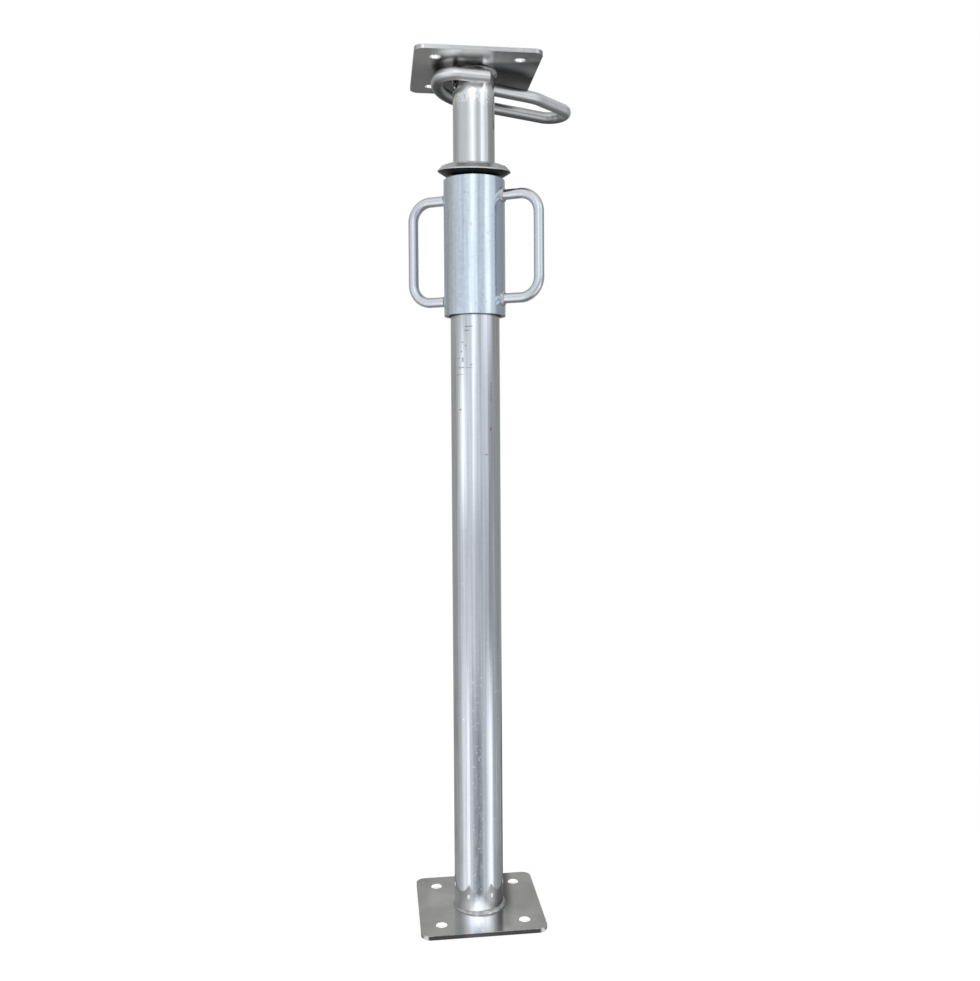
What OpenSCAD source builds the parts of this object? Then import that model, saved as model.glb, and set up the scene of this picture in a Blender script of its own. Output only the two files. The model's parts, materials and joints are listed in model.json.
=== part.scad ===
// Adjustable steel prop with a covered thread.
// The outer tube stands on the base plate and holds the inner tube, which slides up out of it.
// A G-hook pin crosses the inner tube, and rests on the thrust ring when the prop is in use.
// The sleeve nut turns on the threaded ring at the outer tube's top, and lifts the thrust ring.
// Origin at the centre of the base plate's underside, +Z up along the tubes.

/* [Plates] */
// Side of the square base and head plates
plate_size = 120; // [110:1:150]
// Thickness of the base and head plates
plate_t = 4; // [3:0.5:8]
// Radius of the plates' corners
plate_corner_r = 9; // [3:1:14]
// Spacing of the four bolt holes along each side
bolt_pitch = 80; // [74:1:90]
// Diameter of the bolt holes
bolt_hole_d = 11; // [8:0.5:14]
// Diameter of the drain hole in the middle of each plate
drain_d = 22; // [10:1:30]
// Leg of the ring welds that join the tubes to the plates
plate_weld_leg = 3.5; // [3:0.25:4]

/* [Inner tube] */
// Outside diameter of the inner tube
inner_d = 41; // [38:0.5:44]
// Wall of the inner tube
inner_wall = 2.6; // [2:0.1:3.6]
// Height of the inner tube's top above the outer tube's end, with the prop closed
head_room = 107; // [103:1:200]
// Spacing of the pin holes along the inner tube
hole_pitch = 100; // [80:5:120]
// Number of pin holes
hole_count = 6; // [2:1:7]
// Distance of the top pin hole below the head plate
top_hole_drop = 11.4; // [11:0.2:20]

/* [Outer tube] */
// Gap all round between the inner and outer tubes
slide_clear = 0.65; // [0.4:0.05:1]
// Wall of the outer tube
outer_wall = 3; // [2.5:0.1:4]
// Length of the outer tube
outer_len = 713; // [450:1:900]
// Length of the threaded ring on the outer tube's top end
screw_ring_len = 32; // [25:1:50]
// Thickness of the threaded ring, to the crest of its thread
screw_ring_t = 1.8; // [1.5:0.1:3]
// Leg of the weld bead under the threaded ring
screw_weld_leg = 1.4; // [1:0.1:1.5]

/* [Sleeve nut] */
// Gap all round between the threaded ring and the sleeve nut
thread_clear = 0.2; // [0.1:0.05:0.4]
// Wall of the sleeve nut
sleeve_wall = 4; // [3:0.25:6]
// Length of the sleeve nut
sleeve_len = 132; // [110:1:160]
// Height of the sleeve nut's top above the outer tube's end when it is screwed right down
sleeve_rise = 2.5; // [0.5:0.5:6]

/* [Handles] */
// Diameter of the handle rod
handle_rod_d = 10; // [8:0.5:12]
// Distance of the handle's upright from the tube's axis
handle_reach = 67.5; // [62:0.5:80]
// Distance of the handles' arms from the sleeve nut's ends
handle_inset = 16; // [10:0.5:24]
// Bend radius at the middle of the handle rod
handle_bend_r = 19; // [12:0.5:21]
// Direction that the right handle points in, about the tube's axis
handle_angle = -30; // [-90:1:90]
// Leg of the welds at the ends of the handles
handle_weld_leg = 3.5; // [2:0.25:4]

/* [Thrust ring] */
// Outside diameter of the thrust ring
ring_d = 71.8; // [68:0.2:80]
// Height of the thrust ring
ring_h = 12.8; // [10:0.2:16]
// Height of the ring's rim above its seat
ring_rim_h = 5; // [3:0.1:6.5]
// Diameter of the flat top of the ring
ring_top_d = 50; // [48:0.5:54]
// Lean of the loose ring on the sleeve nut, towards the front
ring_lean = 8; // [0:1:9]
// Smallest gap between the leaning ring's bore and the inner tube
ring_clear = 0.4; // [0.3:0.05:1]

/* [G-hook pin] */
// Diameter of the hook's rod
hook_rod_d = 12; // [10:0.5:12.5]
// Gap all round between the hook and the pin holes
hook_hole_clear = 1.3; // [1.15:0.05:1.8]
// Distance of the pin's tip from the tube's axis, as the hook hangs half pulled out
hook_tip = 8; // [4:0.5:10]
// Straight length of the pin leg
hook_leg_len = 55; // [50:1:80]
// Bend radius of the leg's sweep
hook_sweep_r = 30; // [20:1:50]
// Angle of the leg's sweep
hook_sweep_angle = 21; // [12:1:30]
// Bend radius at the hook's far end
hook_end_r = 17; // [14:0.5:22]
// Gap between the tube and the line of the hook's back strand
hook_back_gap = 21.5; // [16:0.5:30]
// Angle of the wide part of the curl, which starts at the back strand
hook_wide_angle = 79; // [70:1:95]
// Bend radius of the curl's nose, after its wide part
hook_nose_r = 19; // [16:0.5:26]
// Gap between the curl's nose and the tube
hook_side_gap = 11.4; // [8:0.2:16]
// Gap between the tube and the line of the hook's free end
hook_front_gap = 1.8; // [1.5:0.1:3]
// Angle at which the free end leans away from the tube
hook_flare = 15; // [5:1:20]
// How far the free end reaches past the tube's axis
hook_free_reach = 2.5; // [-5:0.5:10]
// Direction that the pin leg points in, about the tube's axis
hook_angle = 19; // [0:1:60]
// Droop of the hook's outer end
hook_droop = 1.75; // [0:0.25:3]
// Chamfer on the rods' cut ends
rod_chamfer = 0.8; // [0.4:0.1:1.5]

/* [Hidden] */
$fn = 96;
// Overrun of cutting shapes past the faces they cut
cut = 1;

inner_r = inner_d / 2;
inner_bore_r = inner_r - inner_wall;
outer_bore_r = inner_r + slide_clear;
outer_r = outer_bore_r + outer_wall;
screw_ring_r = outer_r + screw_ring_t;
sleeve_bore_r = screw_ring_r + thread_clear;
sleeve_r = sleeve_bore_r + sleeve_wall;

inner_len = outer_len + head_room;
inner_top = plate_t + inner_len;
outer_top = plate_t + outer_len;
sleeve_top = outer_top + sleeve_rise;
sleeve_bottom = sleeve_top - sleeve_len;
top_hole_z = inner_top - top_hole_drop;

// The thrust ring leans about the middle of its seat, and its front touches the sleeve nut's top
ring_r = ring_d / 2;
ring_top_r = ring_top_d / 2;
ring_seat_r = (sleeve_bore_r + sleeve_r) / 2;
ring_seat_gap = 0.1;
ring_seat_z = sleeve_top + ring_seat_r * sin(ring_lean) + ring_seat_gap;
ring_bore_r = (inner_r + ring_h * sin(ring_lean)) / cos(ring_lean) + ring_clear;
// How far the rim's edges are rounded off, and how far the dome's shoulder drops
ring_rim_t = 1.2;
ring_shoulder_drop = 1.4;

hook_rod_r = hook_rod_d / 2;
hook_hole_r = hook_rod_r + hook_hole_clear;
// Centre of the curl's nose, and bend radius and centre of its wide part, seen along the tube
// with the pin leg on +X. A short link joins the two bends.
hook_link_len = 2;
hook_nose_x = hook_nose_r - hook_rod_r - hook_side_gap - inner_r;
hook_front_y = inner_r + hook_front_gap + hook_rod_r;
hook_nose_y = (hook_nose_r - hook_front_y - hook_nose_x * sin(hook_flare)) / cos(hook_flare);
hook_back_y = inner_r + hook_back_gap + hook_rod_r;
hook_wide_y = hook_nose_r * cos(hook_wide_angle) + hook_link_len * sin(hook_wide_angle);
hook_wide_r = (hook_back_y - hook_nose_y - hook_wide_y) / (1 - cos(hook_wide_angle));
hook_wide_x = hook_nose_x + (hook_wide_r - hook_nose_r) * sin(hook_wide_angle)
    + hook_link_len * cos(hook_wide_angle);
hook_tail_x = hook_free_reach - hook_nose_x + hook_nose_r * sin(hook_flare);
// Straight run between the sweep and the end bend that brings the back strand to its place
hook_sweep_y = hook_sweep_r * (1 - cos(hook_sweep_angle));
hook_end_y = hook_end_r * (1 + cos(hook_sweep_angle));
hook_run_len = (hook_back_y - hook_sweep_y - hook_end_y) / sin(hook_sweep_angle);
// Length of the back strand, from the end bend to the curl
hook_sweep_x = (hook_sweep_r - hook_end_r) * sin(hook_sweep_angle);
hook_back_x = hook_tip + hook_leg_len + hook_sweep_x + hook_run_len * cos(hook_sweep_angle);
hook_back_len = hook_back_x - hook_wide_x;

// How full the face of a ring weld is, as a share of its leg
weld_fullness = 0.6;
// Thickness of a handle weld at its thinnest edge
weld_toe_t = 0.4;
// How far a rod's straight run reaches into its bends, and how much thinner it is
run_lap = 0.2;
run_step = 0.04;
// Bend tables of the rods: each step is a straight run, then the angle and radius of a bend
hook_steps = [
    [hook_leg_len, hook_sweep_angle, hook_sweep_r],
    [hook_run_len, 180 - hook_sweep_angle, hook_end_r],
    [hook_back_len, hook_wide_angle, hook_wide_r],
    [hook_link_len, 180 - hook_flare - hook_wide_angle, hook_nose_r],
    [hook_tail_x / cos(hook_flare), 0, hook_nose_r],
];
handle_h = sleeve_len - 2 * handle_inset;
handle_arm = handle_reach - handle_bend_r;
handle_steps = [
    [handle_arm, 90, handle_bend_r],
    [handle_h - 2 * handle_bend_r, 90, handle_bend_r],
    [handle_arm, 0, handle_bend_r],
];

steel_tube = "silver";
steel_plate = "darkgray";
steel_sleeve = "lightsteelblue";
steel_rod = "lightgray";
steel_weld = "gray";
steel_ring = "dimgray";

// A tube that stands on z = 0
module tube(outer_radius, bore_radius, length) {
    difference() {
        cylinder(r = outer_radius, h = length);
        translate([0, 0, -cut]) cylinder(r = bore_radius, h = length + 2 * cut);
    }
}

// A fillet weld round a tube that stands on z = 0, with a slightly full face
module ring_weld(tube_radius, leg) {
    full = weld_fullness * leg;
    rotate_extrude() translate([tube_radius, 0]) polygon([[0, 0], [leg, 0], [full, full], [0, leg]]);
}

// A square plate on z = 0 with rounded corners, four bolt holes and a drain hole
module bolt_plate() {
    corner = plate_size / 2 - plate_corner_r;
    difference() {
        union() {
            for (side = [0, 90])
                rotate([0, 0, side]) translate([-plate_size / 2, -corner, 0])
                    cube([plate_size, 2 * corner, plate_t]);
            for (x = [-corner, corner], y = [-corner, corner])
                translate([x, y, 0]) cylinder(r = plate_corner_r, h = plate_t);
        }
        for (x = [-bolt_pitch / 2, bolt_pitch / 2], y = [-bolt_pitch / 2, bolt_pitch / 2])
            translate([x, y, -cut]) cylinder(d = bolt_hole_d, h = plate_t + 2 * cut);
        translate([0, 0, -cut]) cylinder(d = drain_d, h = plate_t + 2 * cut);
    }
}

// A short taper that ends a rod at the origin, the rod coming along +X
module rod_end(radius, chamfer) {
    rotate([0, 90, 0]) cylinder(r1 = radius, r2 = radius - chamfer, h = chamfer);
}

// A rod bent in the XY plane by a bend table, from the origin along +X, turning left.
// A straight run is a hair thinner than the bends, and reaches into them, so that they fuse.
module bent_rod(radius, steps, chamfer, i = 0) {
    if (i == 0) mirror([1, 0, 0]) rod_end(radius, chamfer);
    if (i == len(steps)) rod_end(radius, chamfer);
    if (i < len(steps)) {
        run = steps[i][0];
        angle = steps[i][1];
        bend_r = steps[i][2];
        start = i == 0 ? 0 : -run_lap;
        translate([start, 0, 0]) rotate([0, 90, 0])
            cylinder(r = radius - run_step, h = run + run_lap - start);
        translate([run, bend_r, 0]) {
            if (angle > 0) rotate([0, 0, -90]) rotate_extrude(angle = angle)
                translate([bend_r, 0]) circle(r = radius);
            rotate([0, 0, angle]) translate([0, -bend_r, 0]) bent_rod(radius, steps, chamfer, i + 1);
        }
    }
}

// Places its children on a handle's lower arm, pointing outwards from the tube's axis.
// Side 0 is the right handle, and side 1 the left one.
module at_handle(side) {
    translate([0, 0, sleeve_bottom + handle_inset])
        rotate([0, 0, handle_angle + side * 180]) children();
}

// Removes the sleeve nut's outline, so that what is left is fitted to its surface
module fitted_to_sleeve() {
    difference() {
        children();
        translate([0, 0, sleeve_bottom - handle_rod_d])
            cylinder(r = sleeve_r, h = sleeve_len + 2 * handle_rod_d);
    }
}

// A rod bent to a handle, its two cut ends inside the sleeve nut's outline
module handle(side) {
    fitted_to_sleeve() at_handle(side) rotate([90, 0, 0])
        bent_rod(handle_rod_d / 2, handle_steps, rod_chamfer);
}

// A tapered weld bead round one arm of a handle, where it meets the sleeve nut
module handle_weld(side, height) {
    rod_r = handle_rod_d / 2;
    toe_r = rod_r + handle_weld_leg;
    root = sleeve_bore_r;
    toe = sleeve_r + weld_toe_t;
    tip = sleeve_r + handle_weld_leg;
    fitted_to_sleeve() at_handle(side) translate([0, 0, height]) rotate([0, 90, 0])
        rotate_extrude() polygon([[rod_r, root], [toe_r, root], [toe_r, toe], [rod_r, tip]]);
}

// Places its children along the pin's axis: +X outwards, the origin at the tube's axis
module at_pin(z) {
    translate([0, 0, z]) rotate([0, hook_droop, hook_angle]) children();
}

module base_plate() {
    color(steel_plate) bolt_plate();
}

module base_weld() {
    color(steel_weld) translate([0, 0, plate_t]) ring_weld(outer_r, plate_weld_leg);
}

module outer_tube() {
    color(steel_tube) translate([0, 0, plate_t]) tube(outer_r, outer_bore_r, outer_len);
}

module screw_ring() {
    color(steel_tube) translate([0, 0, outer_top - screw_ring_len])
        tube(screw_ring_r, outer_r, screw_ring_len);
}

module screw_ring_weld() {
    color(steel_weld) translate([0, 0, outer_top - screw_ring_len])
        mirror([0, 0, 1]) ring_weld(outer_r, screw_weld_leg);
}

module sleeve_nut() {
    color(steel_sleeve) translate([0, 0, sleeve_bottom]) tube(sleeve_r, sleeve_bore_r, sleeve_len);
}

module right_handle() {
    color(steel_rod) handle(0);
}

module left_handle() {
    color(steel_rod) handle(1);
}

module right_top_weld() {
    color(steel_weld) handle_weld(0, handle_h);
}

module right_bottom_weld() {
    color(steel_weld) handle_weld(0, 0);
}

module left_top_weld() {
    color(steel_weld) handle_weld(1, handle_h);
}

module left_bottom_weld() {
    color(steel_weld) handle_weld(1, 0);
}

// Domed above its rim, and bevelled below it, with a flat seat
module thrust_ring() {
    color(steel_ring) translate([0, 0, ring_seat_z]) rotate([ring_lean, 0, 0])
        rotate_extrude() polygon([
            [ring_bore_r, 0],
            [ring_seat_r, 0],
            [ring_r - ring_rim_t / 2, ring_rim_h - ring_rim_t / 2],
            [ring_r, ring_rim_h],
            [ring_r - ring_rim_t / 2, ring_rim_h + ring_rim_t],
            [(ring_r + ring_top_r) / 2 + ring_rim_t, (ring_rim_h + ring_h) / 2 + ring_rim_t],
            [ring_top_r + ring_rim_t, ring_h - ring_shoulder_drop / 2],
            [ring_top_r - ring_rim_t, ring_h],
            [ring_bore_r, ring_h],
        ]);
}

module inner_tube() {
    color(steel_tube) difference() {
        translate([0, 0, plate_t]) tube(inner_r, inner_bore_r, inner_len);
        for (i = [0 : hole_count - 1])
            translate([0, 0, top_hole_z - i * hole_pitch]) rotate([0, 90, hook_angle])
                cylinder(r = hook_hole_r, h = 2 * (inner_r + cut), center = true);
    }
}

module head_weld() {
    color(steel_weld) translate([0, 0, inner_top])
        mirror([0, 0, 1]) ring_weld(inner_r, plate_weld_leg);
}

module head_plate() {
    color(steel_plate) translate([0, 0, inner_top]) bolt_plate();
}

module g_hook() {
    color(steel_rod) at_pin(top_hole_z) translate([hook_tip, 0, 0])
        bent_rod(hook_rod_r, hook_steps, rod_chamfer);
}

base_plate();
base_weld();
outer_tube();
screw_ring();
screw_ring_weld();
sleeve_nut();
right_handle();
left_handle();
right_top_weld();
right_bottom_weld();
left_top_weld();
left_bottom_weld();
thrust_ring();
inner_tube();
head_weld();
head_plate();
g_hook();
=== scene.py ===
import json
import math
import random

import bpy
from mathutils import Matrix, Vector


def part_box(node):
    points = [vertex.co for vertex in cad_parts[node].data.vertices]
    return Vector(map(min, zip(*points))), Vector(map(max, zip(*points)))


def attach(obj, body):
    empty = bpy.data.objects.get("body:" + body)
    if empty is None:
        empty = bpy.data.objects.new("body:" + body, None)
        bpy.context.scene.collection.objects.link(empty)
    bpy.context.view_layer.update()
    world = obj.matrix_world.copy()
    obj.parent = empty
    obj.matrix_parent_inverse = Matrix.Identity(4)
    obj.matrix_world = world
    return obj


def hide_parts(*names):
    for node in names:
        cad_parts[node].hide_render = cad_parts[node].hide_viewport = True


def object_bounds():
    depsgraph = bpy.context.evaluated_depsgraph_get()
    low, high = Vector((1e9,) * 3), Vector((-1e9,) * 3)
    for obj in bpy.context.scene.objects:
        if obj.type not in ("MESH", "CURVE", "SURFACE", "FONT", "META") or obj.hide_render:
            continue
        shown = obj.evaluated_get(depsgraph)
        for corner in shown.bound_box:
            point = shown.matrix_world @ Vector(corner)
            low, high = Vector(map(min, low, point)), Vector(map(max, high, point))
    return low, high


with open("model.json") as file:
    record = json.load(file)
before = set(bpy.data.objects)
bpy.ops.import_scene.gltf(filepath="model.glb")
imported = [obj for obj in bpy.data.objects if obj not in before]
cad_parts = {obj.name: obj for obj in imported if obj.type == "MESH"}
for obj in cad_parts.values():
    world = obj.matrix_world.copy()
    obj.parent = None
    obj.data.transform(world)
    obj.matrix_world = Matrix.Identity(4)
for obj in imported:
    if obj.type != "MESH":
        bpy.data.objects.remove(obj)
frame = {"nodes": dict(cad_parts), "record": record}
cad_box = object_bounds()
nodes = frame["nodes"]
scene = bpy.context.scene
scene.view_settings.view_transform = "Standard"
MM = 0.001

# ---------------------------------------------------------------- camera

CAMERA_AT = Vector((-0.0986, -0.9595, 0.4755))
CAMERA_YAW = math.radians(7.358)       # from +Y towards +X
CAMERA_PITCH = math.radians(1.458)     # downwards
CAMERA_ROLL = math.radians(-0.348)
SENSOR_MM = 36
FOCAL_PX = 976.0
IMAGE_W, IMAGE_H = 980, 981
AXIS_PX = (501.35, 455.0)              # where the lens axis meets the image
CLIP_NEAR, CLIP_FAR = 0.01, 100


def make_camera():
    data = bpy.data.cameras.new("camera")
    data.sensor_width = SENSOR_MM
    data.lens = SENSOR_MM * FOCAL_PX / IMAGE_H
    data.shift_x = (IMAGE_W / 2 - AXIS_PX[0]) / IMAGE_H
    data.shift_y = (AXIS_PX[1] - IMAGE_H / 2) / IMAGE_H
    data.clip_start = CLIP_NEAR
    data.clip_end = CLIP_FAR
    forward = Vector((math.sin(CAMERA_YAW) * math.cos(CAMERA_PITCH),
                      math.cos(CAMERA_YAW) * math.cos(CAMERA_PITCH),
                      -math.sin(CAMERA_PITCH)))
    level = Vector((math.cos(CAMERA_YAW), -math.sin(CAMERA_YAW), 0))
    above = level.cross(forward)
    right = math.cos(CAMERA_ROLL) * level + math.sin(CAMERA_ROLL) * above
    up = right.cross(forward)
    camera = bpy.data.objects.new("camera", data)
    camera.matrix_world = Matrix((right, up, -forward)).transposed().to_4x4()
    camera.location = CAMERA_AT
    scene.collection.objects.link(camera)
    scene.camera = camera


make_camera()

# ---------------------------------------------------------------- node helpers


class Tree:
    """Short calls that add shader nodes to one node tree and link them."""

    def __init__(self, tree):
        self.tree = tree
        tree.nodes.clear()

    def node(self, kind, inputs=(), **settings):
        """A new node; inputs maps its sockets to numbers, colours or other nodes' outputs."""
        made = self.tree.nodes.new(kind)
        for key, value in settings.items():
            setattr(made, key, value)
        for key, value in dict(inputs).items():
            self.put(made.inputs[key], value)
        return made

    def put(self, socket, value):
        if isinstance(value, bpy.types.NodeSocket):
            self.tree.links.new(value, socket)
        else:
            socket.default_value = value

    def math(self, operation, a, b=0.5):
        return self.node("ShaderNodeMath", {0: a, 1: b}, operation=operation).outputs[0]

    def times(self, product, *others):
        for other in others:
            product = self.math("MULTIPLY", product, other)
        return product

    def plus(self, total, *others):
        for other in others:
            total = self.math("ADD", total, other)
        return total

    def minus(self, a, b):
        return self.math("SUBTRACT", a, b)

    def largest(self, a, b):
        return self.math("MAXIMUM", a, b)

    def size(self, value):
        """The value without its sign."""
        return self.math("ABSOLUTE", value)

    def off(self, value, centre):
        """How far the value is from centre."""
        return self.size(self.minus(value, centre))

    def remap(self, value, low, high, to_low=0.0, to_high=1.0, kind="LINEAR"):
        """to_low where the value is low, to_high where it is high, and never outside those two."""
        inputs = {0: value, 1: low, 2: high, 3: to_low, 4: to_high}
        return self.node("ShaderNodeMapRange", inputs, interpolation_type=kind).outputs[0]

    def fade(self, value, low, high, to_low=0.0, to_high=1.0):
        """remap with soft ends."""
        return self.remap(value, low, high, to_low, to_high, "SMOOTHSTEP")

    def between(self, share, a, b):
        """a where the share is 0 and b where it is 1."""
        return self.remap(share, 0, 1, a, b)

    def near(self, value, centre, outside, inside):
        """1 up to inside from centre, fading to 0 at outside from it."""
        return self.fade(self.off(value, centre), outside, inside)

    def noise(self, vector, scale, detail=2.0, roughness=0.5, distortion=0.0):
        return self.node("ShaderNodeTexNoise", {
            "Vector": vector, "Scale": scale, "Detail": detail, "Roughness": roughness,
            "Distortion": distortion}).outputs[0]

    def grain(self, vector, scales, detail=2.0, roughness=0.5, shift=(0, 0, 0)):
        """Noise with a scale of its own along each axis."""
        inputs = {"Vector": vector, "Scale": scales, "Location": shift}
        return self.noise(self.node("ShaderNodeMapping", inputs).outputs[0], 1.0, detail, roughness)

    def sway(self, noise, most):
        """A noise as an offset of up to most, either way."""
        return self.remap(noise, 0.3, 0.7, -most, most)

    def ramp(self, value, stops):
        """A colour or a grey by place, with straight runs between the stops."""
        made = self.node("ShaderNodeValToRGB", {0: value})
        elements = made.color_ramp.elements
        while len(elements) < len(stops):
            elements.new(0.5)
        for element, (place, colour) in zip(elements, stops):
            element.position = place
            element.color = (*colour, 1) if hasattr(colour, "__len__") else (colour, colour, colour, 1)
        return made.outputs[0]

    def mix(self, factor, a, b):
        """Colour a where the factor is 0 and colour b where it is 1."""
        made = self.node("ShaderNodeMix", data_type="RGBA")
        self.put(made.inputs[0], factor)
        for socket, value in ((made.inputs[6], a), (made.inputs[7], b)):
            self.put(socket, (*value, 1) if isinstance(value, tuple) and len(value) == 3 else value)
        return made.outputs[2]

    def scaled(self, colour, factor):
        """colour times a grey factor."""
        made = self.node("ShaderNodeVectorMath", {0: colour}, operation="SCALE")
        self.put(made.inputs[3], factor)
        return made.outputs[0]

    def bump(self, height, distance, normal):
        inputs = {"Height": height, "Strength": 1.0, "Distance": distance, "Normal": normal}
        return self.node("ShaderNodeBump", inputs).outputs[0]

    def xyz(self, vector):
        return self.node("ShaderNodeSeparateXYZ", {0: vector}).outputs

    def normal(self):
        return self.node("ShaderNodeNewGeometry").outputs["Normal"]

    def azimuth(self, x, y):
        """The angle of a point round the prop, from -Y towards +X."""
        return self.math("ARCTAN2", x, self.times(y, -1.0))


# ---------------------------------------------------------------- world, floor, lamps

CAMERA_SIDE = math.atan2(CAMERA_AT.x, -CAMERA_AT.y)   # azimuth of the camera
WHITE = (1, 1, 1, 1)
GLOW_RANGE = 2.0                # the ramps hold the glow divided by this, so that it stays under 1
AMBIENT = 0.45                  # the world's light on dull surfaces
COOL = (0.945, 0.995, 1.06)     # tint of the glow from the camera's side
COOL_PLACES = (0.22, 0.36, 0.72, 0.86)      # where it starts, is full, still is, and ends, as below

# What bare metal mirrors, by the angle round the prop in degrees from the camera's side to its right. The
# places of COOL are the same angles as shares of a whole turn that starts at -180.
GLOW_HIGH = [(-180, .60), (-150, .46), (-130, .46), (-112, .50), (-97, .60), (-84, .74), (-71, .82),
             (-60, .86), (-50, .84), (-38, .92), (-29, 1.05), (-20, 1.35), (-13, 1.60), (-5, 1.70),
             (1, 1.45), (9, 1.10), (17, .80), (27, .80), (36, 1.05), (43, 1.55), (54, 1.50), (60, 1.15),
             (68, .98), (80, .90), (88, .45), (100, .40), (134, .34), (160, .46), (180, .60)]
GLOW_LEVEL = [(-180, .50), (-134, .42), (-110, .46), (-97, .62), (-82, .85), (-75, 1.35), (-68, 1.60),
              (-50, 1.50), (-44, 1.25), (-38, 1.05), (-28, 1.05), (-16, 1.25), (-12, 1.50), (-5, 1.40),
              (0, 1.08), (9, .92), (24, .82), (36, .80), (46, 1.0), (58, 1.0), (64, .52), (78, .48),
              (112, .42), (150, .40), (180, .50)]
GLOW_SUNK = [(-180, .45), (-134, .43), (-112, .46), (-97, .68), (-84, .70), (-71, .95), (-60, .94),
             (-50, .94), (-38, .88), (-29, .88), (-20, 1.0), (-9, .98), (0, .78), (9, .70), (20, .67),
             (29, .68), (38, .76), (50, .80), (58, .76), (64, .44), (71, .46), (84, .59), (97, .48),
             (112, .41), (134, .41), (180, .45)]
GLOW_LOW = [(-180, .50), (-165, .42), (-134, .40), (-112, .48), (-97, .63), (-84, .74), (-76, 1.0),
            (-70, 1.25), (-60, 1.05), (-54, 1.15), (-50, 1.65), (-44, 1.60), (-38, .95), (-29, .76),
            (-20, .76), (-9, .68), (0, .50), (9, .54), (20, .64), (29, .78), (39, .90), (47, 1.40),
            (55, 1.80), (65, 1.70), (72, 1.15), (79, .68), (88, .60), (100, .56), (114, .50), (134, .44),
            (160, .08), (180, .04)]
GLOW_STEEP_UP = [(-180, .64), (-150, .80), (-75, .95), (-52, 1.2), (-40, 1.75), (-24, 1.55), (-8, 1.85),
                 (12, 1.80), (30, 1.55), (48, 1.70), (66, 1.25), (90, .8), (115, .5), (130, .36),
                 (150, .30), (165, .50), (180, .64)]
GLOW_STEEP_DOWN = [(-180, .25), (-100, .40), (-60, 1.60), (-26, 1.70), (-14, .20), (2, .12), (24, .16),
                   (38, 1.60), (70, 1.60), (100, .40), (180, .25)]
GLOW_OVERHEAD = [(-180, .60), (-120, .62), (-78, .95), (-55, 1.20), (-34, .92), (-10, 1.15), (10, 1.10),
                 (30, .88), (50, 1.20), (68, .90), (92, .62), (180, .60)]
GLOW_UNDERFOOT = [(-180, .36), (-110, .46), (-78, .85), (-60, 1.30), (-42, 1.15), (-20, .90), (0, .92),
                  (18, .85), (38, 1.15), (56, 1.35), (72, .85), (92, .46), (180, .36)]
GLOW_STRAIGHT_DOWN = [(-180, .24), (180, .24)]

# Where each table takes over from those before it: the z of the mirrored direction where it starts, and
# where it is full.
SIDE_GLOWS = [(0.02, 0.14, GLOW_HIGH), (-0.03, -0.12, GLOW_SUNK), (-0.19, -0.31, GLOW_LOW)]
STEEP_GLOWS = [(0.425, 0.440, GLOW_STEEP_UP), (-0.447, -0.460, GLOW_STEEP_DOWN), (0.49, 0.53, GLOW_OVERHEAD),
               (-0.510, -0.530, GLOW_UNDERFOOT), (-0.78, -0.95, GLOW_STRAIGHT_DOWN)]


def make_world():
    """White to the camera, an even grey to dull surfaces, and the glow tables to what mirrors."""
    world = bpy.data.worlds.new("world")
    scene.world = world
    world.use_nodes = True
    world.cycles.sampling_method = "NONE"
    t = Tree(world.node_tree)
    direction = t.node("ShaderNodeTexCoord").outputs["Generated"]
    turned = t.node("ShaderNodeVectorRotate", {"Vector": direction, "Angle": -CAMERA_SIDE},
                    rotation_type="Z_AXIS").outputs[0]
    x, y, z = t.xyz(turned)
    place = t.remap(t.azimuth(x, y), -math.pi, math.pi)

    def band(stops):
        return t.ramp(place, [((degrees + 180) / 360, glow / GLOW_RANGE) for degrees, glow in stops])

    def overlaid(glow, glows):
        for start, full, stops in glows:
            glow = t.mix(t.fade(z, start, full), glow, band(stops))
        return glow

    glow = overlaid(band(GLOW_LEVEL), SIDE_GLOWS)
    tint = t.ramp(place, list(zip(COOL_PLACES, ((1, 1, 1), COOL, COOL, (1, 1, 1)))))
    glow = t.node("ShaderNodeVectorMath", {0: glow, 1: tint}, operation="MULTIPLY").outputs[0]
    glow = overlaid(glow, STEEP_GLOWS)
    mirrored = t.node("ShaderNodeBackground", {0: glow, 1: GLOW_RANGE}).outputs[0]
    shown = t.node("ShaderNodeBackground", {0: WHITE, 1: 1.0}).outputs[0]
    ambient = t.node("ShaderNodeBackground", {0: WHITE, 1: AMBIENT}).outputs[0]
    path = t.node("ShaderNodeLightPath")
    open_view = t.largest(path.outputs["Is Camera Ray"], path.outputs["Is Transmission Ray"])
    soft = t.node("ShaderNodeMixShader", {0: open_view, 1: ambient, 2: shown}).outputs[0]
    out = t.node("ShaderNodeMixShader", {0: path.outputs["Is Glossy Ray"], 1: soft, 2: mirrored}).outputs[0]
    t.node("ShaderNodeOutputWorld", {"Surface": out})


def level_square(name, low_x, low_y, high_x, high_y, z):
    """A level square, and the empty node tree of its own material."""
    mesh = bpy.data.meshes.new(name)
    corners = [(low_x, low_y, 0), (high_x, low_y, 0), (high_x, high_y, 0), (low_x, high_y, 0)]
    mesh.from_pydata(corners, [], [(0, 1, 2, 3)])
    square = bpy.data.objects.new(name, mesh)
    square.location.z = z
    scene.collection.objects.link(square)
    material = bpy.data.materials.new(name)
    material.use_nodes = True
    mesh.materials.append(material)
    return square, Tree(material.node_tree)


FLOOR_REACH = 6.0
FLOOR_DROP = 0.2 * MM           # keeps the floor clear of the base plate's underside
FADE_START, FADE_END = 0.25, 1.1
FLOOR_GLOW = 0.82
FLOOR_GREY = (0.24, 0.26)


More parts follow.
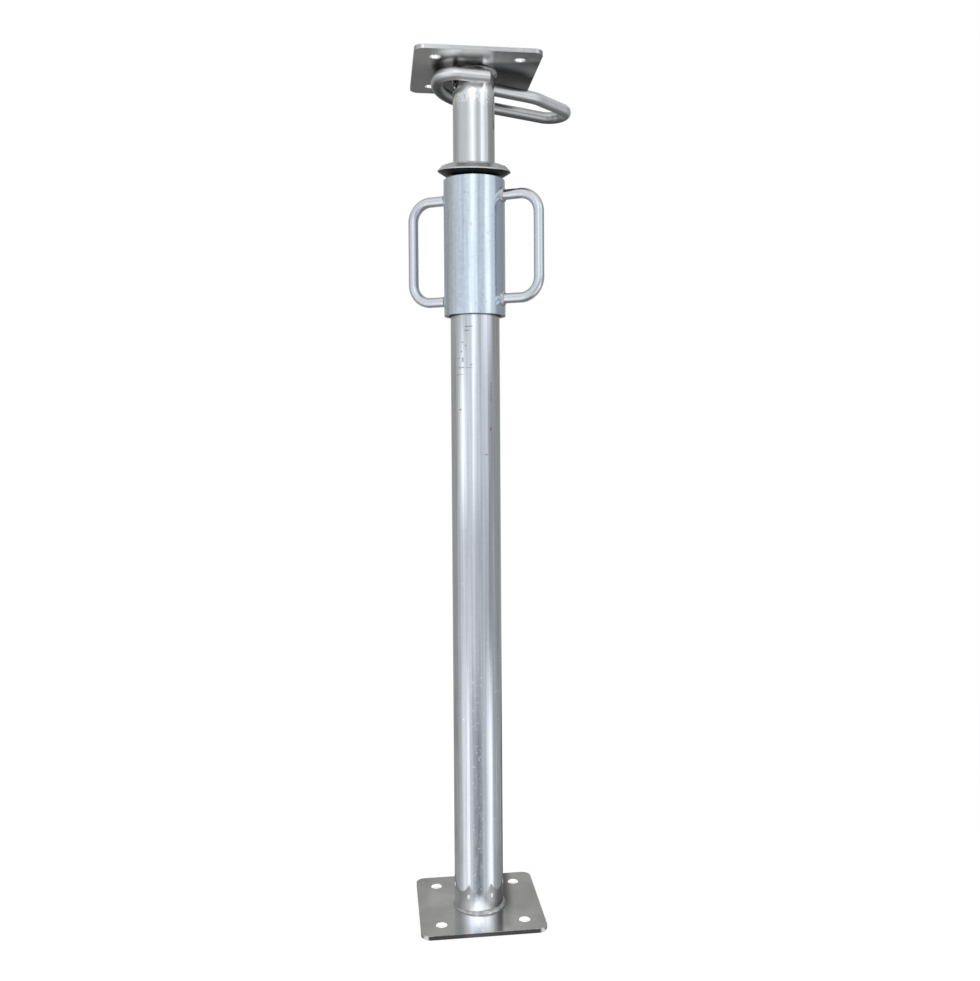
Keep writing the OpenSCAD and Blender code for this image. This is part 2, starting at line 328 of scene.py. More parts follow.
def make_floor():
    """A floor that takes the prop's shadow near it and is plain white further away."""
    floor, t = level_square("floor", -FLOOR_REACH, -FLOOR_REACH, FLOOR_REACH, FLOOR_REACH,
                            cad_box[0].z - FLOOR_DROP)
    floor.visible_glossy = False
    place = t.node("ShaderNodeTexCoord").outputs["Object"]
    away = t.node("ShaderNodeVectorMath", {0: place}, operation="LENGTH").outputs["Value"]
    grey = t.remap(t.noise(place, 40, 3), 0.3, 0.7, *FLOOR_GREY)
    lit = t.node("ShaderNodeBsdfDiffuse", {"Color": grey}).outputs[0]
    glow = t.node("ShaderNodeEmission", {0: WHITE, 1: FLOOR_GLOW}).outputs[0]
    near = t.node("ShaderNodeAddShader", {0: lit, 1: glow}).outputs[0]
    far = t.node("ShaderNodeEmission", {0: WHITE, 1: 1.0}).outputs[0]
    seen = t.node("ShaderNodeMixShader", {0: t.fade(away, FADE_START, FADE_END), 1: near, 2: far}).outputs[0]
    camera_ray = t.node("ShaderNodeLightPath").outputs["Is Camera Ray"]
    out = t.node("ShaderNodeMixShader", {0: camera_ray, 1: lit, 2: seen}).outputs[0]
    t.node("ShaderNodeOutputMaterial", {"Surface": out})


HOLE_GLOW = 1.5
HOLE_GLOW_DROP = 0.1 * MM       # between the base plate and the floor


def make_glow_square():
    """Shows the white floor in the walls of the base plate's holes. Only mirrored rays see it."""
    low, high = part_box("base_plate")
    square, t = level_square("hole_glow", low.x, low.y, high.x, high.y, low.z - HOLE_GLOW_DROP)
    square.visible_camera = False
    square.visible_diffuse = False
    square.visible_shadow = False
    glow = t.node("ShaderNodeEmission", {0: WHITE, 1: HOLE_GLOW}).outputs[0]
    t.node("ShaderNodeOutputMaterial", {"Surface": glow})


# Name, place, diameter in metres and watts
LAMPS = [("key_lamp", (-1.5, -2.0, 2.6), 1.6, 46), ("fill_lamp", (2.2, -1.2, 1.6), 1.8, 18),
         ("back_lamp", (0.6, 2.2, 2.4), 1.8, 22)]
LAMP_AIM = Vector((0, 0, 0.4))


def make_lamp(name, at, size, watts):
    """A round lamp that lights dull surfaces and is neither seen nor mirrored."""
    data = bpy.data.lights.new(name, "AREA")
    data.shape = "DISK"
    data.size = size
    data.energy = watts
    lamp = bpy.data.objects.new(name, data)
    lamp.location = at
    lamp.rotation_euler = (LAMP_AIM - Vector(at)).to_track_quat("-Z", "Y").to_euler()
    lamp.visible_camera = False
    lamp.visible_glossy = False
    scene.collection.objects.link(lamp)


make_world()
make_floor()
make_glow_square()
for lamp in LAMPS:
    make_lamp(*lamp)

# ---------------------------------------------------------------- zinc

CREVICE_REACH, CREVICE_SAMPLES = 9 * MM, 8
CORNER_R, CORNER_SAMPLES = 0.6 * MM, 6      # how round the corners look
PIT_DEPTH = 0.05 * MM
SPANGLE_MM = 3.0                            # width of a zinc crystal

# Fineness of the patterns, in noise waves to the metre, and along x, y and z where there are three
CLOUDS = 14
SMEARS = (38, 38, 7)
FINE_GRAIN = 900
DRAWING_LINES = (900, 900, 9)
EDGE_WEAR_AND_HIGHLIGHT = 160
RIPPLES = (60, 60, 26)

# How much lighter or darker, as a share, and how much rougher or smoother the patterns make the zinc
CELL_LIGHT = 0.035
FINE_LIGHT = 0.03
LINE_LIGHT = 0.07
CELL_ROUGH = 0.03


def crevice_light(t):
    """1 in the open, 0 deep in a corner."""
    made = t.node("ShaderNodeAmbientOcclusion", {"Distance": CREVICE_REACH}, samples=CREVICE_SAMPLES)
    return made.outputs["AO"]


def zinc(name, colour, dull, roughness, *, wave, rough_spread=0.10, lines=0.0, patches=0.5, pits=0.15,
         mottled=1.0, crevice=0.0, edge=None, marks=None):
    """Hot-dip galvanised steel, mottled between colour and dull, which is rougher by about rough_spread.

    patches is how sharply the two meet, mottled the strength of the crystals and fine grain, lines that of
    the drawing lines along Z. wave is the depth in mm of its slow waves, pits the strength of its fine ones.
    crevice is how much darker it is painted deep in a corner, a painted shade, and edge the colour of worn
    corners, which is partly wear and partly a painted highlight along them. marks adds a piece's own marks
    and painted light and shade.
    """
    material = bpy.data.materials.new(name)
    material.use_nodes = True
    t = Tree(material.node_tree)
    place = t.node("ShaderNodeTexCoord").outputs["Object"]
    spangle = t.node("ShaderNodeTexVoronoi", {
        "Vector": place, "Scale": 1000 / SPANGLE_MM, "Randomness": 1.0})
    cell = t.node("ShaderNodeSeparateColor", {0: spangle.outputs["Color"]}).outputs[0]
    fine = t.noise(place, FINE_GRAIN, 2, 0.6)
    streak = t.grain(place, DRAWING_LINES)
    cloud = t.noise(place, CLOUDS, 3, 0.55)
    smear_and_rim_shadow = t.grain(place, SMEARS, 4, 0.6)
    mottle = t.plus(t.times(cloud, 0.5), t.times(smear_and_rim_shadow, 0.5))
    mottle = t.remap(mottle, 0.5 - 0.2 / patches, 0.5 + 0.2 / patches)
    tone = t.mix(mottle, dull, colour)
    light = t.plus(t.between(cell, -CELL_LIGHT * mottled, CELL_LIGHT * mottled),
                   t.sway(fine, FINE_LIGHT * mottled), t.sway(streak, LINE_LIGHT * lines))
    tone = t.scaled(tone, t.plus(light, 1.0))
    rough = t.plus(t.between(mottle, roughness + rough_spread, roughness - rough_spread * 0.4),
                   t.between(cell, -CELL_ROUGH * mottled, CELL_ROUGH * mottled))
    if marks is not None:
        tone, rough = marks(t, place, tone, rough)
    # Painted shade: the colour darkens deep in corners.
    if crevice:
        tone = t.scaled(tone, t.fade(crevice_light(t), 0.15, 0.85, 1.0 - crevice, 1.0))
    corner = t.node("ShaderNodeBevel", {"Radius": CORNER_R}, samples=CORNER_SAMPLES).outputs[0]
    # Corners lighten towards the edge colour: partly wear, partly a painted highlight.
    if edge is not None:
        turn = t.node("ShaderNodeVectorMath", {0: corner, 1: t.normal()}, operation="DOT_PRODUCT")
        rubbed_and_highlit = t.remap(t.noise(place, EDGE_WEAR_AND_HIGHLIGHT, 3), 0.35, 0.6)
        worn = t.times(t.remap(turn.outputs["Value"], 0.99, 0.86), rubbed_and_highlit)
        tone = t.mix(worn, tone, edge)
    normal = t.bump(t.grain(place, RIPPLES), wave * MM, corner)
    normal = t.bump(t.plus(fine, t.times(streak, lines)), pits * PIT_DEPTH, normal)
    shader = t.node("ShaderNodeBsdfPrincipled", {
        "Base Color": tone, "Metallic": 1.0, "Roughness": rough, "Normal": normal})
    t.node("ShaderNodeOutputMaterial", {"Surface": shader.outputs[0]})
    return material


# ---------------------------------------------------------------- marks, painted light and shade: tubes and sleeve nut

OUTER_R_MM = 24.15
SLEEVE_R_MM = 30.15

# Scratches on the outer tube: turn from the camera's side in degrees, then height, length round the tube and
# thickness in mm.
SCRATCHES = [(-15, 575.3, 7.5, 1.0), (-19.5, 571.8, 4.8, 1.0), (-35, 536.1, 7.0, 1.1), (-16, 535.9, 8.0, .4),
             (-39, 529.4, 8.5, .5), (-31, 560.3, 1.6, 1.6), (-23, 557.3, 1.4, 1.2), (-38, 495.6, 2.6, 1.5),
             (37, 476.5, 1.2, 4.0), (38, 512.0, .7, 18.0), (25, 452.0, 2.8, 1.0), (-30, 543.4, 1.6, 4.5),
             (-40, 545.0, 2.5, .6), (-9, 538.8, 1.5, 1.3), (-33, 551.5, 1.2, 1.6)]
SCRATCH_SLOPE = -0.04
SCRATCH_GREY = (0.17, 0.17, 0.18)
DIRT_GREY = (0.43, 0.43, 0.43)
DENT_GREY = (0.30, 0.33, 0.37)
FOOT_PAINTED_REFLECTION = (0.93, 0.94, 0.95)
NICK_WHITE = (0.90, 0.92, 0.95)
RIM_SHADOW_BLACK = (0.12, 0.12, 0.12)
CRUST_DARK = (0.66, 0.66, 0.65)
CRUST_PALE = (0.88, 0.88, 0.87)
HEAD_END_PAINTED_LIGHT = (1.0, 1.0, 0.99)
SLEEVE_BLUE = (0.62, 0.70, 0.79)

# Fineness of the patterns, in noise waves to the metre, and along x, y and z where there are three
SCRATCH_EDGE = 900
SCRATCH_PATCHES = 1300
TUBE_LINES = (330, 330, 1.3)
DIRT = (70, 70, 12)
DENTS = (300, 300, 55)
NICKS = (380, 380, 300)
SCUFFS = (90, 90, 800)
RIM_SHADOW_EDGE = 140
CRUST_EDGE = 260
CRACKLE = (520, 520, 380)
SLEEVE_LINES = (260, 260, 6)
SLEEVE_GRAINS = (330, 330, 160)

# Heights on the outer tube in mm where each mark starts, and where it is full
DIRT_MM = (300, 100)
SEAM_MM = (205, 150)
FOOT_MM = (22, 11)
NICKS_MM = (290, 200)
SCUFFS_MM = (420, 300)
RIM_SHADOW_BELOW_MM = (584.2, 586.2)
RIM_SHADOW_ABOVE_MM = (592, 588)

# The same on the inner tube, in metres
CRUST_M = (0.786, 0.798)
HEAD_END_M = (0.797, 0.803)

# The sleeve nut's blue side: where it starts and is full, in radians from the camera's side, and where it
# ends behind, in mm round the nut.
BLUE_FROM, BLUE_FULL = 0.55, 0.95
BLUE_END_MM = (85, 60)


def round_tube(t, place, radius_mm):
    """How far round a tube a point is from -Y towards +X, in mm."""
    x, y, _ = t.xyz(place)
    return t.times(t.azimuth(x, y), radius_mm)


def scratched(t, place, round_mm, high_mm):
    """1 in a scratch, 0 beside it, and patchy along it."""
    ragged = t.sway(t.noise(place, SCRATCH_EDGE), 0.5)
    worn = 0.0
    for turn, height, length, thickness in SCRATCHES:
        along = t.minus(round_mm, (CAMERA_SIDE + math.radians(turn)) * OUTER_R_MM)
        up = t.minus(t.plus(high_mm, t.times(along, SCRATCH_SLOPE)), height)
        in_length = t.remap(t.plus(t.size(along), ragged), length / 2 + 0.3, length / 2 - 0.3)
        in_thickness = t.remap(t.size(up), thickness / 2 + 0.25, thickness / 2 - 0.15)
        worn = t.largest(worn, t.times(in_length, in_thickness))
    return t.times(worn, t.remap(t.noise(place, SCRATCH_PATCHES), 0.35, 0.6, 0.35, 0.95))


def outer_marks_and_painted_light(t, place, tone, rough):
    """Marks of the outer tube, most of them on the camera's side.

    Scratches where the sleeve nut rubs, lines along the tube, grime and pale scuffs low down, a dented seam
    with nicks beside it, a pale patch at the foot that is a painted reflection of the base plate, and a
    ragged dark band at the sleeve nut's lower rim that is a painted shadow.
    """
    round_mm = round_tube(t, place, OUTER_R_MM)
    high_mm = t.times(t.xyz(place)[2], 1000.0)
    sideways = t.minus(round_mm, CAMERA_SIDE * OUTER_R_MM)
    aside = t.size(sideways)

    tone = t.mix(scratched(t, place, round_mm, high_mm), tone, SCRATCH_GREY)
    lines = t.grain(place, TUBE_LINES, 3, 0.7)
    tone = t.scaled(tone, t.remap(lines, 0.36, 0.64, 0.86, 1.13))

    low_down = t.fade(high_mm, *DIRT_MM, 0.20, 0.9)
    off_the_seam = t.remap(aside, 15, 24, 0.2, 1.0)
    dirt_and_underside_shade = t.times(low_down, off_the_seam, t.remap(t.grain(place, DIRT, 5, 0.65), 0.50, 0.62))
    tone = t.mix(dirt_and_underside_shade, tone, DIRT_GREY)

    seam = t.times(t.remap(aside, 4.6, 3.2), t.fade(high_mm, *SEAM_MM))
    dents = t.times(seam, t.remap(t.grain(place, DENTS, 4, 0.7), 0.45, 0.54, 0.30, 1.0))
    tone = t.mix(t.times(dents, 0.62), tone, DENT_GREY)

    # Painted reflection: the foot turns near white on the camera's side, where the tube mirrors the bright
    # base plate.
    foot = t.times(t.fade(high_mm, *FOOT_MM), t.near(sideways, -2.0, 20, 4))
    tone = t.mix(foot, tone, FOOT_PAINTED_REFLECTION)

    by_the_seam = t.times(t.remap(aside, 8.0, 4.0), t.remap(high_mm, *NICKS_MM))
    nicks = t.times(by_the_seam, t.remap(t.grain(place, NICKS), 0.64, 0.69))
    scuffs = t.times(t.remap(t.grain(place, SCUFFS), 0.70, 0.74), t.remap(high_mm, *SCUFFS_MM, 0.0, 0.8))
    tone = t.mix(t.largest(nicks, scuffs), tone, NICK_WHITE)

    # Painted shadow: a ragged dark band on the tube at the sleeve nut's lower rim.
    ragged_mm = t.plus(high_mm, t.sway(t.noise(place, RIM_SHADOW_EDGE, 3, 0.6), 1.2))
    smear_and_rim_shadow = t.times(t.fade(ragged_mm, *RIM_SHADOW_BELOW_MM), t.fade(ragged_mm, *RIM_SHADOW_ABOVE_MM))
    smear_and_rim_shadow = t.times(t.remap(aside, 12, 30, 0.06, 0.60), t.remap(aside, 46, 36), smear_and_rim_shadow)
    tone = t.mix(smear_and_rim_shadow, tone, RIM_SHADOW_BLACK)

    rough = t.plus(rough, t.times(dirt_and_underside_shade, 0.10))
    return tone, t.plus(rough, t.plus(t.times(dents, 0.08), t.times(smear_and_rim_shadow, 0.25)))


def inner_marks_and_painted_light(t, place, tone, rough):
    """Zinc lies rough and pale near the head plate's weld, and is painted near white right under the plate, a
    painted light.
    """
    z = t.xyz(place)[2]
    ragged = t.plus(z, t.sway(t.noise(place, CRUST_EDGE, 3, 0.6), 4 * MM))
    near_head = t.fade(ragged, *CRUST_M)
    crackle = t.remap(t.grain(place, CRACKLE, 3, 0.6), 0.44, 0.56)
    tone = t.mix(near_head, tone, t.mix(crackle, CRUST_DARK, CRUST_PALE))
    # Painted light: the tube turns near white just under the head plate, against the hook's shade.
    tone = t.mix(t.remap(z, *HEAD_END_M), tone, HEAD_END_PAINTED_LIGHT)
    return tone, t.plus(rough, t.times(near_head, 0.12))


def painted_shade_below(depth, start, end):
    """Painted shade that darkens faces looking down to depth, where little light comes up from the floor.

    start and end are the z of the face's direction where the dark starts and is full.
    """
    def marks(t, place, tone, rough):
        under = t.fade(t.xyz(t.normal())[2], start, end)
        return t.scaled(tone, t.between(under, 1.0, depth)), t.plus(rough, t.times(under, 0.12))
    return marks


def sleeve_marks_and_painted_shade(t, place, tone, rough):
    """Drawing lines, dark grains, a bluer right side, and a dark rim below that is painted shade."""
    round_mm = round_tube(t, place, SLEEVE_R_MM)
    lines = t.grain(place, SLEEVE_LINES, 4, 0.65)
    tone = t.scaled(tone, t.remap(lines, 0.36, 0.64, 0.87, 1.10))
    grains = t.remap(t.grain(place, SLEEVE_GRAINS, 3, 0.6), 0.60, 0.72)
    tone = t.scaled(tone, t.between(grains, 1.0, 0.80))
    blue_from = (CAMERA_SIDE + BLUE_FROM) * SLEEVE_R_MM
    blue_full = (CAMERA_SIDE + BLUE_FULL) * SLEEVE_R_MM
    right = t.times(t.fade(round_mm, blue_from, blue_full), t.remap(round_mm, *BLUE_END_MM))
    tone = t.mix(right, tone, SLEEVE_BLUE)
    # Painted shade on the sleeve nut's faces looking down.
    return painted_shade_below(0.08, -0.3, -0.8)(t, place, tone, rough)


# ---------------------------------------------------------------- marks, painted light and shade: plates, welds and hook

PLATE_HALF = 0.058              # the plates' outer sides begin here, in x and y
SPECK_GREY = (0.16, 0.16, 0.155)
BASE_PAINTED_REFLECTION = (0.72, 0.74, 0.77)
HOLE_WALL_PAINTED_LIGHT = (0.92, 0.92, 0.91)
BASE_MIDDLE = 0.002             # height of the middle of the base plate's thickness
HEAD_MIDDLE = 0.826             # and of the head plate's

# Fineness of the patterns, as above
PLATE_CLOUDS = 16
PLATE_SPECKS = 420
HAIRS_ALONG = (30, 1400, 30)
HAIRS_ACROSS = (1100, 60, 60)
UNDERSIDE_LIGHT_EDGE = 22
BLOTCHES = 210


def head_underside_light(t, place, x, y):
    """Painted light and shade on the head plate's underside: sheen in front, shade behind, three patches."""
    wavering = t.plus(y, t.sway(t.noise(place, UNDERSIDE_LIGHT_EDGE), 12 * MM))
    front = t.fade(t.plus(wavering, t.remap(x, -0.034, -0.012, -0.014, 0.0)), -0.026, -0.042)
    back = t.fade(wavering, -0.030, 0.020)
    # Painted sheen in front, painted shade in the middle and at the back.
    painted_sheen = t.times(t.fade(x, -0.045, -0.010, 0.62, 2.0), t.fade(x, 0.0, 0.05, 1.0, 0.85))
    painted_shade_middle = t.fade(x, -0.02, 0.015, 0.55, 0.42)
    painted_shade_back = t.fade(x, -0.02, 0.035, 0.36, 0.18)
    underside_light = t.node("ShaderNodeMix", {0: back, 2: painted_shade_middle, 3: painted_shade_back}).outputs[0]
    underside_light = t.node("ShaderNodeMix", {0: front, 2: underside_light, 3: painted_sheen}).outputs[0]
    # Painted shade deep in the corners.
    underside_light = t.times(underside_light, t.fade(crevice_light(t), 0.2, 0.8, 0.06, 1.0))
    # Three painted patches: shade behind and before the tube, light beside it.
    behind_tube = t.times(t.near(x, -0.024, 0.017, 0.011), t.fade(y, 0.004, 0.018))
    before_tube = t.times(t.remap(y, -0.038, -0.030), t.remap(y, -0.008, -0.014),
                          t.near(x, -0.005, 0.018, 0.009))
    beside_tube = t.times(t.near(x, -0.031, 0.016, 0.009), t.fade(y, -0.014, -0.026))
    for patch, brightness in ((behind_tube, 0.25), (before_tube, 0.35), (beside_tube, 1.7)):
        underside_light = t.times(underside_light, t.between(patch, 1.0, brightness))
    return underside_light


def base_painted_light(t, x, y, tone, low):
    """Painted shade right of the tube, a dull left corner and a pale painted reflection in front, as the
    camera sees them.
    """
    right = t.plus(t.times(x, math.cos(CAMERA_SIDE)), t.times(y, math.sin(CAMERA_SIDE)))
    depth = t.minus(t.times(y, math.cos(CAMERA_SIDE)), t.times(x, math.sin(CAMERA_SIDE)))
    # Painted shade on the plate right of the tube.
    painted_shade = t.times(t.fade(right, 0.036, 0.026), t.fade(right, 0.014, 0.022), low)
    reach = t.times(t.fade(depth, -0.030, 0.008, 0.26, 0.75), t.remap(depth, -0.054, -0.044))
    painted_shade = t.times(painted_shade, reach)
    corner = t.times(t.fade(right, -0.044, -0.056), t.remap(depth, -0.030, 0.010, 0.0, 0.22))
    painted_shade = t.largest(painted_shade, t.times(corner, low))
    tone = t.scaled(tone, t.minus(1.0, painted_shade))
    # A pale painted reflection of the tube on the plate in front of it.
    pale = t.times(low, t.fade(depth, -0.018, -0.030), t.near(right, 0.001, 0.020, 0.006))
    return t.mix(pale, tone, BASE_PAINTED_REFLECTION)


def plate_marks_and_painted_light(t, place, tone, rough):
    """Clouds, hairlines and specks, then painted light and shade: each plate's own, hole walls, outer sides.
    """
    x, y, z = t.xyz(place)
    nx, ny, nz = t.xyz(t.normal())
    high = t.remap(z, 0.3, 0.6)                 # 0 on the base plate, 1 on the head plate
    cloud = t.noise(place, PLATE_CLOUDS, distortion=0.6)
    tone = t.scaled(tone, t.remap(cloud, 0.35, 0.65, 0.86, 1.14))
    hairs = t.largest(t.remap(t.grain(place, HAIRS_ALONG), 0.62, 0.74),
                      t.remap(t.grain(place, HAIRS_ACROSS, shift=(0, 3, 0)), 0.64, 0.76))
    tone = t.scaled(tone, t.between(hairs, 1.0, 0.88))
    specks = t.remap(t.noise(place, PLATE_SPECKS), 0.74, 0.80)
    tone = t.mix(specks, tone, SPECK_GREY)

    # Painted light and shade on the head plate's underside.
    underside = t.times(high, t.remap(nz, -0.5, -0.9))
    tone = t.scaled(tone, t.between(underside, 1.0, head_underside_light(t, place, x, y)))
    tone = base_painted_light(t, x, y, tone, t.minus(1.0, high))

    # Painted light: the walls of the bolt holes turn near white.
    inside = t.times(t.remap(t.size(x), PLATE_HALF, PLATE_HALF - 0.002),
                     t.remap(t.size(y), PLATE_HALF, PLATE_HALF - 0.002))
    upright = t.remap(t.size(nz), 0.6, 0.4)
    off_middle = t.off(z, t.remap(z, 0.3, 0.5, BASE_MIDDLE, HEAD_MIDDLE))
    hole_wall = t.times(inside, upright, t.remap(off_middle, 0.0016, 0.0010))
    tone = t.mix(hole_wall, tone, HOLE_WALL_PAINTED_LIGHT)
    # Painted shade on the base plate's straight outer sides, painted light on the head plate's.
    straight = t.remap(t.largest(t.size(nx), t.size(ny)), 0.93, 0.99)
    rim = t.times(upright, straight, t.minus(1.0, inside))
    tone = t.scaled(tone, t.between(rim, 1.0, t.between(high, 0.35, 1.2)))
    return tone, t.plus(rough, t.plus(t.times(high, 0.05), t.remap(cloud, 0.35, 0.65, 0.03, -0.02)))


def weld_marks(t, place, tone, rough):
    """Weld metal is blotched: pale where it ran smooth, dull with slag in between."""
    blotch = t.noise(place, BLOTCHES, 3, 0.6)
    tone = t.scaled(tone, t.remap(blotch, 0.38, 0.62, 0.80, 1.10))
    return tone, t.plus(rough, t.remap(blotch, 0.38, 0.60, 0.10, -0.04))


PIN_X, PIN_Y = 0.9451, 0.3254   # which way the hook's pin leg points, seen from above
PAINTED_HIGHLIGHT_WHITE = (0.97, 0.97, 0.96)


def hook_painted_light(t, place, tone, rough):
    """Painted highlight on top in front of the tube, painted shade below elsewhere, painted light and shade
    on the loop.
    """
    x, y, _ = t.xyz(place)
    nz = t.xyz(t.normal())[2]
    before_tube = t.times(t.fade(y, -0.012, -0.028), t.remap(x, -0.034, -0.014, 0.55, 1.0))
    # Painted highlight on the rod's top where it passes in front of the tube.
    rubbed_and_highlit = t.times(before_tube, t.fade(nz, -0.45, -0.10, 0.25, 1.0))
    tone = t.mix(rubbed_and_highlit, tone, PAINTED_HIGHLIGHT_WHITE)
    # Painted shade on the loop's rear leg, painted light towards its far end.
    loop = t.fade(x, 0.016, 0.026)
    across = t.plus(t.times(x, -PIN_Y), t.times(y, PIN_X))
    rear_leg = t.fade(across, 0.026, 0.032)
    shade = t.between(rear_leg, t.remap(x, 0.050, 0.080, 1.0, 1.3), 0.74)
    tone = t.scaled(tone, t.between(loop, 1.0, shade))
    # Painted shade on the faces looking down, away from the front part.
    dirt_and_underside_shade = t.times(t.minus(1.0, before_tube), t.fade(nz, -0.35, -0.95), t.between(loop, 1.0, 0.7))
    tone = t.scaled(tone, t.between(dirt_and_underside_shade, 1.0, 0.22))
    return tone, t.plus(rough, t.times(dirt_and_underside_shade, 0.12))


# ---------------------------------------------------------------- looks

# Each edge colour is partly corner wear and partly a painted highlight along the corners.
LOOKS = {
    "plate": zinc("zinc_plate", (0.49, 0.49, 0.48), (0.42, 0.42, 0.41), 0.15, rough_spread=0.03, patches=0.7,
                  wave=0.04, mottled=0.5, edge=(0.74, 0.73, 0.71), marks=plate_marks_and_painted_light),
    "outer_tube": zinc("zinc_outer_tube", (0.64, 0.66, 0.685), (0.57, 0.585, 0.61), 0.07, rough_spread=0.02,
                       lines=1.5, wave=0.03, mottled=0.5, marks=outer_marks_and_painted_light),
    "inner_tube": zinc("zinc_inner_tube", (0.63, 0.63, 0.63), (0.60, 0.60, 0.60), 0.09, rough_spread=0.02,
                       lines=0.8, wave=0.02, pits=0.08, mottled=0.3, edge=(0.7, 0.7, 0.7),
                       marks=inner_marks_and_painted_light),
    "sleeve": zinc("zinc_sleeve", (0.64, 0.71, 0.77), (0.545, 0.605, 0.655), 0.13, rough_spread=0.06,
                   lines=0.5, patches=0.8, wave=0.05, edge=(0.74, 0.77, 0.79), marks=sleeve_marks_and_painted_shade),
    "handle": zinc("zinc_handle", (0.64, 0.67, 0.70), (0.56, 0.59, 0.62), 0.24, wave=0.05, pits=0.05,
                   mottled=0.3),
    "hook": zinc("zinc_hook", (0.62, 0.63, 0.63), (0.52, 0.53, 0.53), 0.33, wave=0.06, patches=0.8,
                 mottled=0.6, marks=hook_painted_light),
    # The thrust ring's faces looking down are painted nearly black, a painted shade.
    "thrust_ring": zinc("zinc_ring", (0.66, 0.69, 0.705), (0.50, 0.525, 0.535), 0.26, patches=0.9, wave=0.12,
                        edge=(0.66, 0.66, 0.66), marks=painted_shade_below(0.03, -0.15, -0.5)),
    # The welds are painted darker deep in their corners, a painted shade.
    "weld": zinc("zinc_weld", (0.56, 0.57, 0.57), (0.38, 0.39, 0.39), 0.26, patches=0.9, wave=0.12, pits=0.3,
                 crevice=0.9, marks=weld_marks),
}

for part in frame["record"]["subparts"]:
    piece = nodes[part["node"]]
    piece.data.materials.clear()
    piece.data.materials.append(LOOKS[part["material_slot"]])

# ---------------------------------------------------------------- weld beads


def make_bead(name, node, body, sections):
    """A closed ring of cross-sections, each a closed list of points, that stands for a CAD weld."""
    points = [point for section in sections for point in section]
    count, size = len(sections), len(sections[0])
    faces = []
    for i in range(count):
        here, there = i * size, (i + 1) % count * size
        for j in range(size):
            k = (j + 1) % size
            faces.append((here + j, there + j, there + k, here + k))
    mesh = bpy.data.meshes.new(name)
    mesh.from_pydata(points, [], faces)
    mesh.polygons.foreach_set("use_smooth", [True] * len(faces))
    bead = bpy.data.objects.new(name, mesh)
    scene.collection.objects.link(bead)
    mesh.materials.append(LOOKS["weld"])
    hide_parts(node)
    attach(bead, body)


FACE_POWER = 1.35    # 1 would make a weld's face bulge like a quarter circle, 2 would make it flat


def bead_profile(count, across, along, ripple):
    """(out, up) pairs from the top of a fillet weld to its toe, with a ripple in the face between."""
    pairs = []
    for i in range(count + 1):
        turn = math.pi / 2 * i / count
        swell = ripple * math.sin(2 * turn)
        out = across * math.sin(turn) ** FACE_POWER + swell
        rise = along * math.cos(turn) ** FACE_POWER + swell
        pairs.append((out, rise))
    return pairs


def uneven(rng, waves, most):
    """A smooth random function of the angle round a bead."""
    terms = [(k, rng.uniform(0, 2 * math.pi), rng.uniform(0.4, 1.0) / k ** 0.5) for k in range(1, waves + 1)]
    total = sum(weight for _, _, weight in terms)
    return lambda turn: most * sum(w * math.sin(k * turn + shift) for k, shift, w in terms) / total


# A tube's bead: steps round it, how far it reaches into the tube and into the plate, and its ripple
TUBE_BEAD_STEPS = 360
INTO_TUBE = 0.4 * MM
INTO_PLATE = 0.2 * MM
TUBE_BEAD_RIPPLE = 0.16 * MM

# How much of the CAD bead it fills: on the whole, more or less by side, and at most across and along the tube
TUBE_BEAD_FILL = 0.62
TUBE_BEAD_LEAN = 0.24
MOST_ACROSS = 0.97
MOST_ALONG = 0.95

# A handle arm's bead: the same with the rod and the sleeve nut, and what it fills across and along the rod
ARM_BEAD_STEPS = 120
INTO_ROD = 0.3 * MM
INTO_SLEEVE = 0.4 * MM
ARM_BEAD_RIPPLE = 0.06 * MM
ARM_BEAD_ACROSS = 0.76
ARM_BEAD_ALONG = 0.72


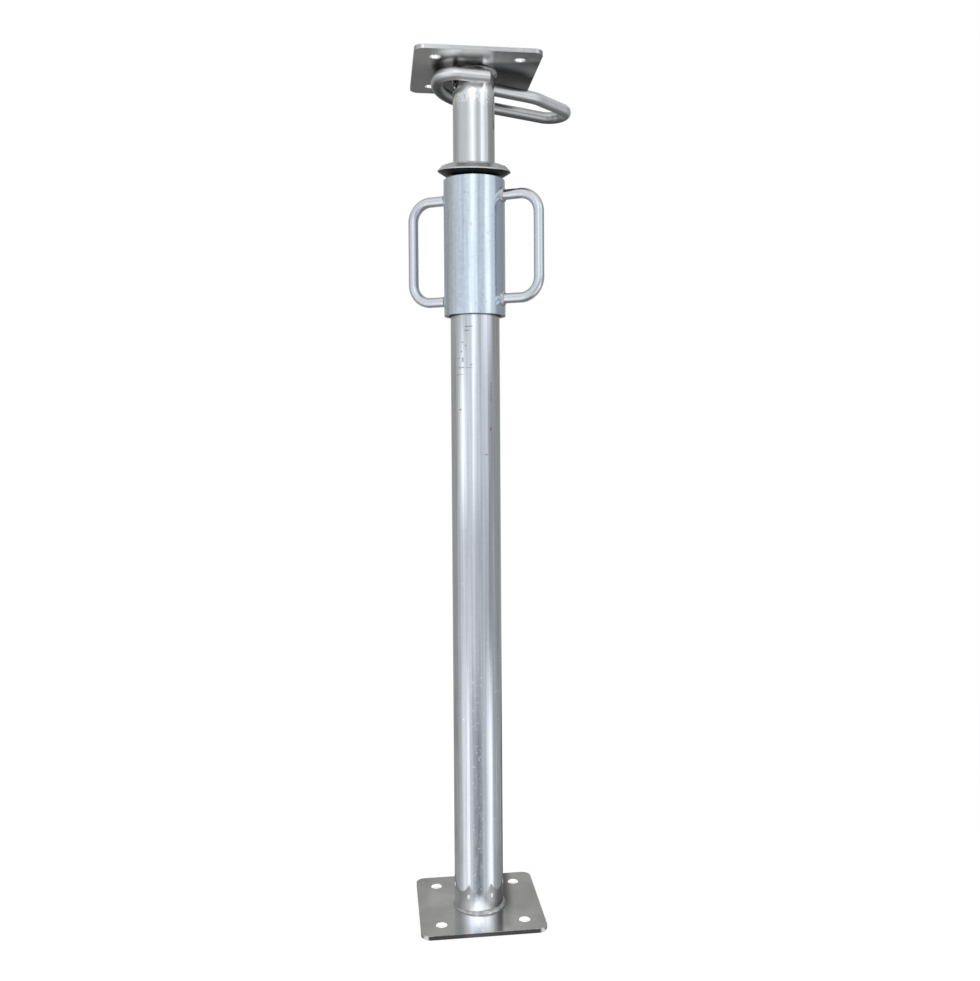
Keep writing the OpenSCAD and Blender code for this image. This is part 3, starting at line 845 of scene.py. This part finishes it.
def tube_bead(node, body, up, heavy_side, seed):
    """The bead that joins a tube to a plate; up is 1 on the base plate and -1 under the head plate."""
    rng = random.Random(seed)
    low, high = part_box(node)
    leg = high.z - low.z
    tube_r = high.x - leg
    root = low.z if up > 0 else high.z
    width, height, scale = uneven(rng, 16, 0.42), uneven(rng, 12, 0.40), uneven(rng, 60, 1.0)
    sections = []
    for i in range(TUBE_BEAD_STEPS):
        turn = 2 * math.pi * i / TUBE_BEAD_STEPS
        heavy = TUBE_BEAD_FILL + TUBE_BEAD_LEAN * math.cos(turn - heavy_side)
        ripple = TUBE_BEAD_RIPPLE * scale(turn)
        across = leg * min(MOST_ACROSS, heavy + width(turn))
        along = leg * min(MOST_ALONG, heavy + height(turn))
        section = [(tube_r - INTO_TUBE, -INTO_PLATE), (tube_r - INTO_TUBE, along)]
        section += [(tube_r + out, rise) for out, rise in bead_profile(8, across, along, ripple)]
        section += [(tube_r + across, -INTO_PLATE)]
        sections.append([(r * math.cos(turn), r * math.sin(turn), root + up * z) for r, z in section])
    make_bead(node + "_bead", node, body, sections)


def arm_bead(node, body, outwards, seed):
    """The bead round one arm of a handle, on the sleeve nut's round surface."""
    rng = random.Random(seed)
    low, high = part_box(node)
    height = (low.z + high.z) / 2
    handle_low, handle_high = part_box(node.split("_")[0] + "_handle")
    sleeve_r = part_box("sleeve_nut")[1].x
    rod_r = min(handle_high.z - height, height - handle_low.z)
    leg = (high.z - low.z) / 2 - rod_r
    out = Vector((math.cos(outwards), math.sin(outwards), 0))
    side = Vector((-out.y, out.x, 0))
    above = Vector((0, 0, 1))
    width, rise = uneven(rng, 5, 0.22), uneven(rng, 6, 0.25)
    sections = []
    for i in range(ARM_BEAD_STEPS):
        turn = 2 * math.pi * i / ARM_BEAD_STEPS
        ripple = ARM_BEAD_RIPPLE * math.sin(11 * turn + 6 * rise(turn))
        across = leg * (ARM_BEAD_ACROSS + width(turn))
        along = leg * (ARM_BEAD_ALONG + rise(turn))
        section = [(-INTO_ROD, -INTO_SLEEVE), (-INTO_ROD, along)]
        section += bead_profile(7, across, along, ripple) + [(across, -INTO_SLEEVE)]
        ring = []
        for from_rod, lift in section:
            r = rod_r + from_rod
            across_sleeve = r * math.sin(turn)
            surface = math.sqrt(sleeve_r ** 2 - across_sleeve ** 2)
            level = height + r * math.cos(turn)
            ring.append(out * (surface + lift) + side * across_sleeve + above * level)
        sections.append(ring)
    make_bead(node + "_bead", node, body, sections)


RIGHT_HANDLE_WAY = math.radians(-30)
LEFT_HANDLE_WAY = math.radians(150)

tube_bead("base_weld", "lower", 1, math.radians(-40), 11)
tube_bead("head_weld", "inner", -1, math.radians(-20), 12)
arm_bead("right_top_weld", "sleeve", RIGHT_HANDLE_WAY, 21)
arm_bead("right_bottom_weld", "sleeve", RIGHT_HANDLE_WAY, 20)
arm_bead("left_top_weld", "sleeve", LEFT_HANDLE_WAY, 23)
arm_bead("left_bottom_weld", "sleeve", LEFT_HANDLE_WAY, 22)
